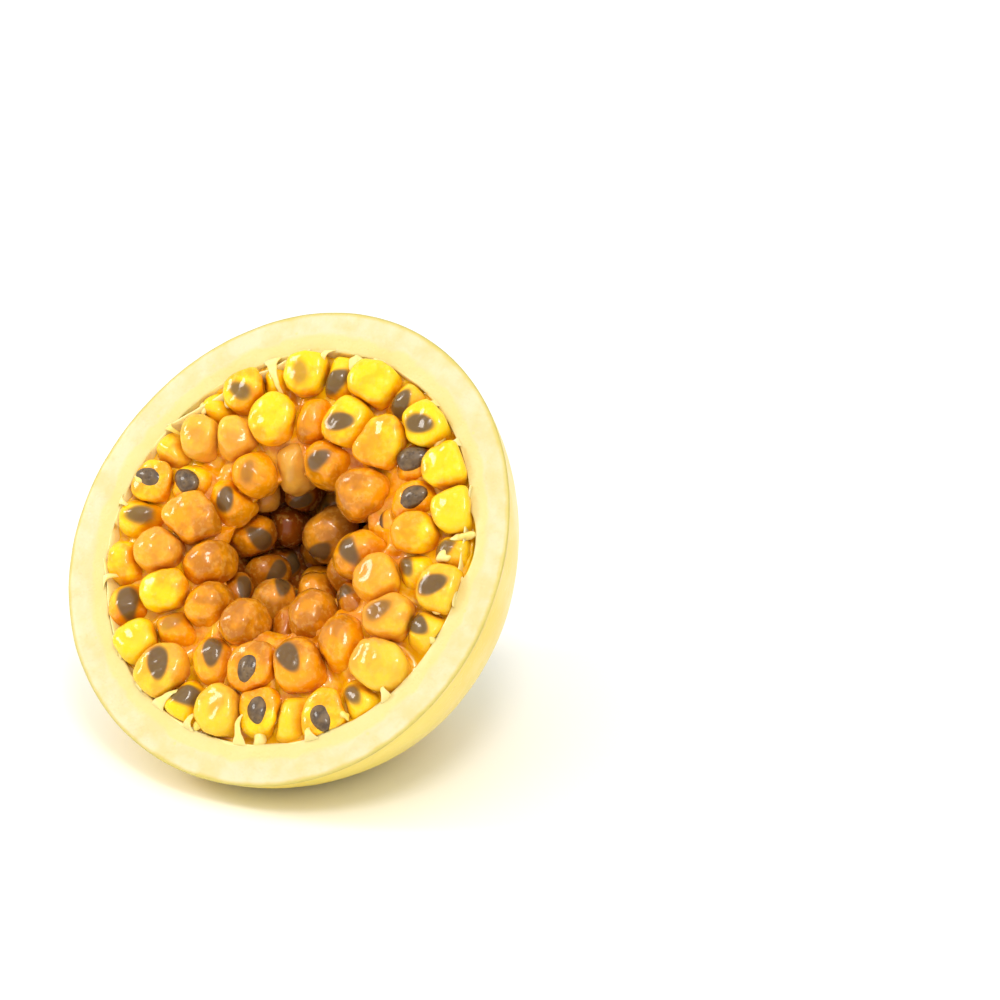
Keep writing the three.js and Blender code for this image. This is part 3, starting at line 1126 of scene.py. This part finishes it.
    def jelly(self) -> None:
        """Builds the loose juice in the creases of the cut face, which climbs the sides of the sacs."""
        bm = bmesh.new()
        layers = self.shop.masks(bm, self.mask_names)
        made = bmesh.ops.create_circle(bm, segments=44, radius=1.0, cap_ends=False)["verts"]
        bmesh.ops.scale(bm, vec=(9.2 * MM, 1.4 * MM, 1.0), verts=made)
        bmesh.ops.rotate(bm, cent=(0, 0, 0), matrix=Matrix.Rotation(math.pi / 2, 3, "X"), verts=made)
        bmesh.ops.translate(bm, vec=(21.6 * MM, 0, -5.0 * MM), verts=made)
        geom = bm.verts[:] + bm.edges[:]
        turn = {"cent": (0, 0, 0), "axis": (0, 0, 1), "angle": 2 * math.pi, "steps": 320, "use_merge": True}
        bmesh.ops.spin(bm, geom=geom, **turn)
        bmesh.ops.remove_doubles(bm, verts=bm.verts, dist=1e-6)
        bmesh.ops.recalc_face_normals(bm, faces=bm.faces)
        middles = np.array([p.middle[:2] for p in self.face_sacs + self.hollow_sacs])
        for vert in bm.verts:
            co = vert.co
            if co.z > -5.0 * MM:
                gaps = np.hypot(middles[:, 0] - co.x, middles[:, 1] - co.y)
                climb = math.exp(-(((float(gaps.min()) - 3.0 * MM) / (1.3 * MM)) ** 2))
                wall = float(smooth_step(28.5 * MM, 30.6 * MM, math.hypot(co.x, co.y)))
                lumps = 0.55 * wobble(co, 2.2 * MM, 4.0) + 0.3 * wobble(co, 0.9 * MM, 2.0)
                co.z += (1.7 * climb + 1.6 * wall + lumps) * MM
            inward, hollow_shade = self.inward_and_shade(co)
            tint = 0.5 + 0.5 * wobble(co, 5 * MM, 6.0)
            # The loose juice takes part of the hollow's painted shade and some crease shade.
            for layer, value in zip(layers, (0.0, inward * 0.6, hollow_shade * 0.6, tint, 0.55, 0.0)):
                vert[layer] = value
        self.shop.lobe(bm)
        self.shop.finish("loose_juice", bm, (self.finishes.juice,), Slot.SAC)

    def seeds(self) -> None:
        """Builds the seeds that the knife bared."""
        bm = bmesh.new()
        nodes = []
        for i, place in enumerate(self.face_sacs):
            if not place.opened:
                continue
            nodes.append(f"seed_{i + 1:02d}")
            made = bmesh.ops.create_icosphere(bm, subdivisions=4, radius=1.0)["verts"]
            lean = Euler((place.turn.x * 0.5, place.turn.y * 0.5, place.turn.z), "XYZ").to_matrix()
            middle = Vector((place.middle[0], place.middle[1], -self.sizes.seed_depth))
            for vert in made:
                unit = vert.co.copy()
                pitted = 1 - 0.05 * max(0.0, wobble(unit, 0.28, i))
                point = Vector(u * h for u, h in zip(unit, self.sizes.seed_half)) * pitted
                point.y *= 1 - 0.16 * unit.x
                vert.co = lean @ point + middle
        self.shop.lobe(bm)
        self.shop.finish("bared_seeds", bm, (self.finishes.seed,), Slot.SEED, nodes)


# ---- threads, strips and flaps of lining ---------------------------------------------------


@dataclass(frozen=True)
class Strip:
    """A loosened strip of lining: where it runs round the rim and how far it stands in."""

    start: float
    end: float
    stand_off: float
    thick: float = 0.9 * MM
    top: float = 0.2 * MM


@dataclass
class Lining:
    """What hangs from the rind's lining: loosened strips and the threads that held the sacs."""

    shop: Workshop
    finishes: Finishes
    strips: tuple[Strip, ...] = (
        Strip(103, 152, 2.4 * MM),
        Strip(-6, 30, 1.3 * MM, 0.7 * MM),
        Strip(196, 226, 1.0 * MM, 0.6 * MM),
    )
    threads: tuple[tuple[float, float], ...] = (
        (-113, 5.4), (-101, 3.4), (-84, 6.0), (-62, 2.6), (-38, 2.8), (44, 3.0), (58, 3.0), (81, 3.4), (97, 2.8),
        (115, 7.0), (152, 2.8), (178, 2.6), (203, 3.0), (226, 4.2), (238, 3.4),
    )
    flecks: tuple[tuple[float, float], ...] = (
        (-17, 29.2), (-8, 28.4), (2, 29.6), (9, 27.2), (15, 29.4), (22, 28.0), (28, 29.7), (35, 27.4),
        (41, 29.3), (49, 28.6), (57, 29.5), (88, 29.4), (132, 27.9), (140, 29.0), (170, 29.4), (212, 28.9),
        (221, 29.6), (228, 28.2), (236, 29.5), (262, 29.0), (281, 29.4), (309, 29.3),
    )
    depth: float = 5.0 * MM

    def build(self) -> None:
        """Builds the strips and the threads as one piece."""
        bm = bmesh.new()
        self.shop.masks(bm, ("juice_stain_and_slit_shade",))
        for strip in self.strips:
            self.shop.absorb(bm, self.strip(strip))
        tone = Jitter(911)
        for angle, length in self.threads:
            self.shop.absorb(bm, self.thread(math.radians(angle), length * MM, tone))
        for angle, out in self.flecks:
            self.shop.absorb(bm, self.fleck(math.radians(angle), out * MM, tone))
        self.shop.lobe(bm)
        self.shop.finish("lining_shreds", bm, (self.finishes.lining,), Slot.RIND)

    def strip(self, strip: Strip) -> bmesh.types.BMesh:
        """Makes a strip that leaves the wall, stands in from it and joins it again.

        Args:
            strip: Where it runs and how far it stands in.

        Returns:
            The strip, in the round fruit's frame.
        """
        bm = bmesh.new()
        (juice_stain_and_slit_shade,) = self.shop.masks(bm, ("juice_stain_and_slit_shade",))
        bmesh.ops.create_circle(bm, segments=24, radius=1.0, cap_ends=True)
        bmesh.ops.scale(bm, vec=(strip.thick / 2, self.depth / 2, 1.0), verts=bm.verts)
        bmesh.ops.rotate(bm, cent=(0, 0, 0), matrix=Matrix.Rotation(math.pi / 2, 3, "X"), verts=bm.verts)
        base = self.shop.shape.inner_radius_at(0.0)
        bmesh.ops.translate(bm, vec=(base, 0, strip.top - self.depth / 2), verts=bm.verts)
        start, end = math.radians(strip.start), math.radians(strip.end)
        bmesh.ops.rotate(bm, cent=(0, 0, 0), matrix=Matrix.Rotation(start, 3, "Z"), verts=bm.verts)
        geom = bm.verts[:] + bm.edges[:] + bm.faces[:]
        bmesh.ops.spin(bm, geom=geom, cent=(0, 0, 0), axis=(0, 0, 1), angle=end - start, steps=72)
        bmesh.ops.recalc_face_normals(bm, faces=bm.faces)
        for vert in bm.verts:
            turn = (math.atan2(vert.co.y, vert.co.x) - start + 0.1) % (2 * math.pi) - 0.1
            share = min(max(turn / (end - start), 0.0), 1.0)
            arch = max(0.0, math.sin(math.pi * share)) ** 0.7
            flat = Vector((vert.co.x, vert.co.y, 0))
            wall = self.shop.shape.inner_radius_at(vert.co.z) - base
            off = strip.stand_off * arch * (1 + 0.25 * wobble(flat, 4 * MM, 7.0)) - 0.3 * MM
            z = vert.co.z + 0.35 * MM * wobble(flat, 3 * MM, 2.0) * arch
            vert.co = flat.normalized() * (flat.length + wall - off)
            vert.co.z = z
            vert[juice_stain_and_slit_shade] = 0.25 + 0.5 * float(smooth_step(0.0, -3 * MM, z))
        return bm

    def thread(self, angle: float, length: float, tone: Jitter) -> bmesh.types.BMesh:
        """Makes a tapering thread that runs from the rim of the lining in over the sacs.

        Args:
            angle: Where on the rim it starts.
            length: How far in it reaches.
            tone: The stream for its thickness and bend.

        Returns:
            The thread, in the round fruit's frame.
        """
        thick = (0.34 + 0.05 * length / MM + 0.1 * tone()) * MM
        bm = bmesh.new()
        (juice_stain_and_slit_shade,) = self.shop.masks(bm, ("juice_stain_and_slit_shade",))
        cone = {"cap_ends": True, "cap_tris": False, "segments": 16, "depth": length}
        bmesh.ops.create_cone(bm, radius1=thick, radius2=thick * 0.3, **cone)
        sides = [e for e in bm.edges if abs((e.verts[0].co - e.verts[1].co).z) > length / 2]
        bmesh.ops.subdivide_edges(bm, edges=sides, cuts=13)
        wall = self.shop.shape.inner_radius_at(0.0) + 0.4 * MM
        yaw, seed = 0.3 * tone(), 5 * tone()
        for vert in bm.verts:
            share = vert.co.z / length + 0.5
            flare = 1 + 1.3 * (1 - share) ** 3
            side, up = vert.co.x * flare, vert.co.y * 0.6
            along = share * length
            bend = yaw * along + 0.7 * MM * wobble(Vector((along, 0, seed)), 2.2 * MM) * share
            rise = (1.65 * max(0.0, math.sin(math.pi * share)) ** 0.8 - 0.8 * share**2 - 0.75) * MM
            lump = 1 + 0.35 * wobble(vert.co, 0.9 * MM, seed)
            place = Vector((wall - along, side * lump + bend, up * lump + rise))
            vert.co = Matrix.Rotation(angle, 3, "Z") @ place
            vert[juice_stain_and_slit_shade] = 0.35 + 0.6 * share
        return bm

    def fleck(self, angle: float, out: float, tone: Jitter) -> bmesh.types.BMesh:
        """Makes a soft pale lump of lining and juice that lies by the rim.

        Args:
            angle: Where it lies round the rim.
            out: Its distance from the axis.
            tone: The stream for its size and shape.

        Returns:
            The lump, in the round fruit's frame.
        """
        bm = bmesh.new()
        (juice_stain_and_slit_shade,) = self.shop.masks(bm, ("juice_stain_and_slit_shade",))
        long, wide = (1.5 + 0.6 * tone()) * MM, (0.8 + 0.3 * tone()) * MM
        ellipsoid(bm, Vector((long, wide, 0.7 * MM)), Vector((0, 0, 0)), 32, 20)
        turn = Matrix.Rotation(angle + 0.5 * tone(), 3, "Z")
        middle = Vector((out * math.cos(angle), out * math.sin(angle), (-0.7 + 0.5 * tone()) * MM))
        tint = 0.75 + 0.25 * tone()
        for vert in bm.verts:
            co = turn @ vert.co
            co += co.normalized() * 0.6 * MM * wobble(co + middle, 1.3 * MM)
            vert.co = co + middle
            vert[juice_stain_and_slit_shade] = tint
        return bm


# ---- the stem stub -------------------------------------------------------------------------


@dataclass
class Stem:
    """What is left of the stem, at the end that the half leans on."""

    shop: Workshop
    finishes: Finishes
    radius: float = 1.25 * MM
    foot: float = 2.0 * MM
    length: float = 1.7 * MM

    def build(self) -> bpy.types.Object:
        """Builds the stub: a short peg with a flared foot and a torn end."""
        bm = bmesh.new()
        made = bmesh.ops.create_cone(
            bm, cap_ends=True, cap_tris=False, segments=48, radius1=self.radius, radius2=self.foot, depth=self.length
        )["verts"]
        end = [f for f in bm.faces if len(f.verts) > 4]
        bmesh.ops.inset_individual(bm, faces=end, thickness=self.radius * 0.3)
        end = [f for f in bm.faces if len(f.verts) > 4]
        bmesh.ops.inset_individual(bm, faces=end, thickness=self.radius * 0.3)
        sides = [e for e in bm.edges if abs((e.verts[0].co - e.verts[1].co).z) > self.length / 2]
        bmesh.ops.subdivide_edges(bm, edges=sides, cuts=10)
        stem_end = self.shop.shape.stem_end
        bmesh.ops.translate(bm, vec=(0, 0, stem_end + 0.35 * MM - self.length / 2), verts=bm.verts)
        for vert in bm.verts:
            ridge = 0.06 * MM * math.cos(9 * math.atan2(vert.co.y, vert.co.x)) + 0.08 * MM * wobble(vert.co, 0.6 * MM)
            out = Vector((vert.co.x, vert.co.y, 0))
            if out.length > 0.1 * MM:
                down = min(1.0, max(0.0, (stem_end - vert.co.z) / self.length))
                waist = 1 - 0.22 * math.sin(math.pi * down)
                vert.co.x *= waist
                vert.co.y *= waist
                vert.co += out.normalized() * ridge
            if vert.co.z < stem_end - self.length * 0.7:
                vert.co.z += 0.22 * MM * wobble(vert.co, 0.5 * MM, 3.0)
        return self.shop.finish("stem_stub_wood", bm, (self.finishes.stem,), Slot.STEM, ("stem_stub",))


# ---- the studio ----------------------------------------------------------------------------


@dataclass(frozen=True)
class Lamp:
    """A soft box: where it hangs, what it looks at, its size and power."""

    name: str
    place: tuple[float, float, float]
    size: float
    power: float
    tint: tuple[float, float, float] = (1.0, 0.98, 0.95)


@dataclass
class Studio:
    """The table, the light and the camera."""

    shape: FruitShape
    azimuth: float = 31.9
    elevation: float = 25.0
    distance: float = 0.6
    lens: float = 142.6
    aim_right: float = 32.6 * MM
    aim_up: float = 6.1 * MM
    surround: float = 0.88
    overhead: float = 0.6
    overhead_angle: float = 60.0
    lamps: tuple[Lamp, ...] = (
        Lamp("key_box", (0.30, -0.40, 0.80), 0.22, 2.6),
        Lamp("left_box", (-0.60, -0.30, 0.50), 0.22, 1.8),
    )

    def build(self) -> None:
        """Builds the table, the light and the camera."""
        self.table()
        self.sky()
        middle = self.shape.standing().translation
        self.ceiling()
        for lamp in self.lamps:
            self.hang(lamp, middle)
        self.camera(middle)
        view = bpy.context.scene.view_settings
        view.view_transform = "Standard"
        view.look = "None"

    def table(self) -> None:
        """Lays a wide pale table top."""
        bm = bmesh.new()
        bmesh.ops.create_grid(bm, x_segments=8, y_segments=8, size=3.0)
        mesh = bpy.data.meshes.new("table_top")
        bm.to_mesh(mesh)
        bm.free()
        top = bpy.data.objects.new("table_top", mesh)
        bpy.context.scene.collection.objects.link(top)
        tree, surface = new_material("table", Gloss(0.55))
        cloud = tree.add("TexNoise", {"Vector": tree.place(), "Scale": 6.0, "Detail": 2.0}).outputs["Fac"]
        colour = tree.blend(cloud, (0.90, 0.90, 0.89, 1), (0.92, 0.92, 0.91, 1))
        dress(tree, surface, colour, cloud, 0.1 * MM, 0.1)
        mesh.materials.append(bpy.data.materials["table"])

    def sky(self) -> None:
        """Surrounds the table with even white light."""
        world = bpy.data.worlds.new("white_room")
        bpy.context.scene.world = world
        world.use_nodes = True
        back = world.node_tree.nodes["Background"]
        back.inputs["Color"].default_value = (1.0, 1.0, 1.0, 1.0)
        back.inputs["Strength"].default_value = self.surround

    def ceiling(self) -> None:
        """Lights the whole table evenly, from above and in front."""
        light = bpy.data.lights.new("ceiling", "SUN")
        light.energy = self.overhead
        light.angle = math.radians(self.overhead_angle)
        lit = bpy.data.objects.new("ceiling", light)
        lit.rotation_euler = Euler((math.radians(26), 0.0, math.radians(24)))
        bpy.context.scene.collection.objects.link(lit)

    @staticmethod
    def hang(lamp: Lamp, target: Vector) -> None:
        """Hangs a soft box and points it at the fruit."""
        light = bpy.data.lights.new(lamp.name, "AREA")
        light.shape = "DISK"
        light.size = lamp.size
        light.energy = lamp.power
        light.color = lamp.tint
        box = bpy.data.objects.new(lamp.name, light)
        box.location = lamp.place
        box.rotation_euler = (Vector(lamp.place) - target).to_track_quat("Z", "Y").to_euler()
        bpy.context.scene.collection.objects.link(box)

    def camera(self, middle: Vector) -> None:
        """Sets the camera at its angle, aimed a little right of and above the cut's middle."""
        az, el = math.radians(self.azimuth), math.radians(self.elevation)
        back = Vector((math.sin(az) * math.cos(el), -math.cos(az) * math.cos(el), math.sin(el)))
        right = Vector((math.cos(az), math.sin(az), 0.0))
        up = back.cross(right)
        data = bpy.data.cameras.new("camera")
        data.lens = self.lens
        data.sensor_width = 36.0
        data.clip_start = 0.05
        data.clip_end = 20.0
        eye = bpy.data.objects.new("camera", data)
        eye.location = middle + back * self.distance
        aim = middle + right * self.aim_right + up * self.aim_up
        eye.rotation_euler = (eye.location - aim).to_track_quat("Z", "Y").to_euler()
        bpy.context.scene.collection.objects.link(eye)
        bpy.context.scene.camera = eye


def main() -> None:
    logging.basicConfig(level=logging.INFO, format="%(name)s: %(message)s")
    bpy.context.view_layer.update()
    shape = FruitShape()
    shop = Workshop(shape)
    finishes = Finishes.build()
    Rind(shop, finishes).build()
    Pulp(shop, finishes).build()
    Lining(shop, finishes).build()
    Stem(shop, finishes).build()
    Studio(shape).build()


if __name__ == "__main__":
    main()
